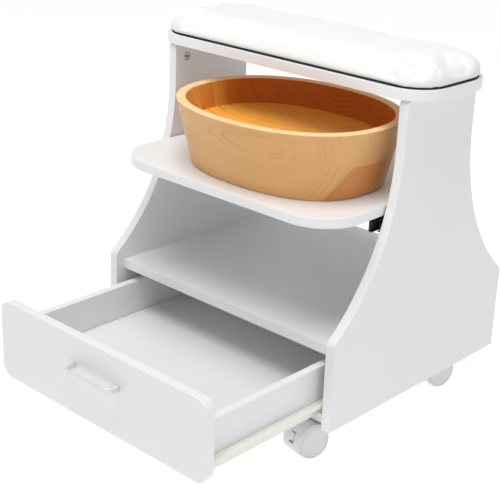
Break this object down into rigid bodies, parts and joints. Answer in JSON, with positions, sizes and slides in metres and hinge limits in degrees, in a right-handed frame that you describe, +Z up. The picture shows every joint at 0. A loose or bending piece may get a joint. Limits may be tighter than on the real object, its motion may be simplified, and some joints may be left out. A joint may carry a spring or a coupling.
{
  "type": "rolling pedicure stool",
  "caption": "Rolling pedicure stool with a padded seat, a pull-out tray holding an oval wooden foot basin, an open towel shelf, a drawer and twin-wheel casters.",
  "frame": {"origin": "centre of the overall box on the floor, with the drawer standing open by 230 mm and the tray forward by 30 mm", "axes": "+Z up, -Y towards the front, where the drawer and the tray come out, +X to the right-hand side seen from the front"},
  "size_m": [0.532, 0.676, 0.5715],
  "materials": {
    "white_laminate": "satin white melamine on particle board",
    "dark_underlay": "dark board under the upholstery",
    "seat_leatherette": "soft off-white leatherette",
    "basin_wood": "satin lacquered honey-coloured wood",
    "cream_steel": "cream epoxy powder coat",
    "black_steel": "black coat, semi-gloss",
    "satin_handle": "satin light grey",
    "roller_nylon": "moulded nylon",
    "caster_shell": "light grey moulded plastic",
    "caster_wheel": "light grey polyurethane",
    "zinc_steel": "zinc plated",
    "fastener_steel": "nickel and zinc plated"
  },
  "bodies": {
    "carcass": {"side_panel_left": "white_laminate", "side_panel_right": "white_laminate", "seat_board": "white_laminate", "seat_underlay": "dark_underlay", "seat_cushion": "seat_leatherette", "lower_shelf": "white_laminate", "base_board": "white_laminate", "back_panel": "white_laminate", "shelf_cam_locks": "fastener_steel", "base_cam_locks": "fastener_steel", "seat_cam_locks": "fastener_steel", "cam_bolts": "fastener_steel", "back_screws": "fastener_steel", "runner_screws": "fastener_steel", "caster_plates": "zinc_steel", "caster_screws": "fastener_steel", "cabinet_runner_left": "cream_steel", "cabinet_runner_right": "cream_steel", "tray_slide_outer_left": "black_steel", "tray_slide_outer_right": "black_steel"},
    "drawer": {"drawer_front": "white_laminate", "drawer_side_left": "white_laminate", "drawer_side_right": "white_laminate", "drawer_back": "white_laminate", "drawer_bottom": "white_laminate", "drawer_handle": "satin_handle", "handle_screws": "fastener_steel", "drawer_screws": "fastener_steel", "drawer_runner_left": "cream_steel", "drawer_runner_right": "cream_steel"},
    "basin_tray": {"basin_tray": "white_laminate", "tray_screws": "fastener_steel", "tray_slide_inner_left": "black_steel", "tray_slide_inner_right": "black_steel", "tray_bracket_left": "black_steel", "tray_bracket_right": "black_steel"},
    "foot_basin": {"foot_basin": "basin_wood"},
    "tray_slide_middle_left": {"tray_slide_middle_left": "black_steel"},
    "cabinet_roller_left": {"cabinet_roller_left": "roller_nylon"},
    "drawer_roller_left": {"drawer_roller_left": "roller_nylon"},
    "tray_slide_middle_right": {"tray_slide_middle_right": "black_steel"},
    "cabinet_roller_right": {"cabinet_roller_right": "roller_nylon"},
    "drawer_roller_right": {"drawer_roller_right": "roller_nylon"},
    "caster_front_left": {"caster_hood_front_left": "caster_shell", "caster_axle_front_left": "zinc_steel"},
    "wheels_front_left": {"caster_wheels_front_left": "caster_wheel"},
    "brake_pedal_front_left": {"brake_pedal_front_left": "caster_shell"},
    "caster_front_right": {"caster_hood_front_right": "caster_shell", "caster_axle_front_right": "zinc_steel"},
    "wheels_front_right": {"caster_wheels_front_right": "caster_wheel"},
    "brake_pedal_front_right": {"brake_pedal_front_right": "caster_shell"},
    "caster_rear_left": {"caster_hood_rear_left": "caster_shell", "caster_axle_rear_left": "zinc_steel"},
    "wheels_rear_left": {"caster_wheels_rear_left": "caster_wheel"},
    "caster_rear_right": {"caster_hood_rear_right": "caster_shell", "caster_axle_rear_right": "zinc_steel"},
    "wheels_rear_right": {"caster_wheels_rear_right": "caster_wheel"}
  },
  "joints": [
    {"name": "drawer_slide", "type": "slide", "parent": "carcass", "child": "drawer", "axis": [0, -1, 0], "range_m": [-0.23, 0.07]},
    {"name": "tray_slide", "type": "slide", "parent": "carcass", "child": "basin_tray", "axis": [0, -1, 0], "range_m": [-0.03, 0.15]},
    {"name": "basin_lift", "type": "slide", "parent": "basin_tray", "child": "foot_basin", "axis": [0, -0.9848, 0.1736], "range_m": [0, 0.45]},
    {"name": "middle_slide_left", "type": "slide", "parent": "carcass", "child": "tray_slide_middle_left", "axis": [0, -1, 0], "range_m": [-0.015, 0.075]},
    {"name": "cabinet_roller_spin_left", "type": "hinge", "parent": "carcass", "child": "cabinet_roller_left", "pos_m": [-0.2142, -0.0564, 0.0866], "axis": [1, 0, 0], "continuous": true},
    {"name": "drawer_roller_spin_left", "type": "hinge", "parent": "drawer", "child": "drawer_roller_left", "pos_m": [-0.2142, 0.039, 0.0864], "axis": [1, 0, 0], "continuous": true},
    {"name": "middle_slide_right", "type": "slide", "parent": "carcass", "child": "tray_slide_middle_right", "axis": [0, -1, 0], "range_m": [-0.015, 0.075]},
    {"name": "cabinet_roller_spin_right", "type": "hinge", "parent": "carcass", "child": "cabinet_roller_right", "pos_m": [0.2142, -0.0564, 0.0866], "axis": [1, 0, 0], "continuous": true},
    {"name": "drawer_roller_spin_right", "type": "hinge", "parent": "drawer", "child": "drawer_roller_right", "pos_m": [0.2142, 0.039, 0.0864], "axis": [1, 0, 0], "continuous": true},
    {"name": "swivel_front_left", "type": "hinge", "parent": "carcass", "child": "caster_front_left", "pos_m": [-0.1915, -0.052, 0.0435], "axis": [0, 0, 1], "continuous": true},
    {"name": "wheel_spin_front_left", "type": "hinge", "parent": "caster_front_left", "child": "wheels_front_left", "pos_m": [-0.196, -0.07149, 0.0265], "axis": [0.9744, -0.225, 0], "continuous": true},
    {"name": "brake_front_left", "type": "hinge", "parent": "caster_front_left", "child": "brake_pedal_front_left", "pos_m": [-0.196, -0.07149, 0.0265], "axis": [0.9744, -0.225, 0], "range_deg": [0, 10]},
    {"name": "swivel_front_right", "type": "hinge", "parent": "carcass", "child": "caster_front_right", "pos_m": [0.1915, -0.052, 0.0435], "axis": [0, 0, 1], "continuous": true},
    {"name": "wheel_spin_front_right", "type": "hinge", "parent": "caster_front_right", "child": "wheels_front_right", "pos_m": [0.187, -0.07149, 0.0265], "axis": [0.9744, -0.225, 0], "continuous": true},
    {"name": "brake_front_right", "type": "hinge", "parent": "caster_front_right", "child": "brake_pedal_front_right", "pos_m": [0.187, -0.07149, 0.0265], "axis": [0.9744, -0.225, 0], "range_deg": [0, 10]},
    {"name": "swivel_rear_left", "type": "hinge", "parent": "carcass", "child": "caster_rear_left", "pos_m": [-0.1915, 0.269, 0.0435], "axis": [0, 0, 1], "continuous": true},
    {"name": "wheel_spin_rear_left", "type": "hinge", "parent": "caster_rear_left", "child": "wheels_rear_left", "pos_m": [-0.196, 0.24951, 0.0265], "axis": [0.9744, -0.225, 0], "continuous": true},
    {"name": "swivel_rear_right", "type": "hinge", "parent": "carcass", "child": "caster_rear_right", "pos_m": [0.1915, 0.269, 0.0435], "axis": [0, 0, 1], "continuous": true},
    {"name": "wheel_spin_rear_right", "type": "hinge", "parent": "caster_rear_right", "child": "wheels_rear_right", "pos_m": [0.187, 0.24951, 0.0265], "axis": [0.9744, -0.225, 0], "continuous": true}
  ],
  "couplings": [
    {"joint": "middle_slide_left", "follows": "tray_slide", "ratio": 0.5},
    {"joint": "cabinet_roller_spin_left", "follows": "drawer_slide", "rad_per_m": 100},
    {"joint": "drawer_roller_spin_left", "follows": "drawer_slide", "rad_per_m": 100},
    {"joint": "middle_slide_right", "follows": "tray_slide", "ratio": 0.5},
    {"joint": "cabinet_roller_spin_right", "follows": "drawer_slide", "rad_per_m": 100},
    {"joint": "drawer_roller_spin_right", "follows": "drawer_slide", "rad_per_m": 100}
  ]
}
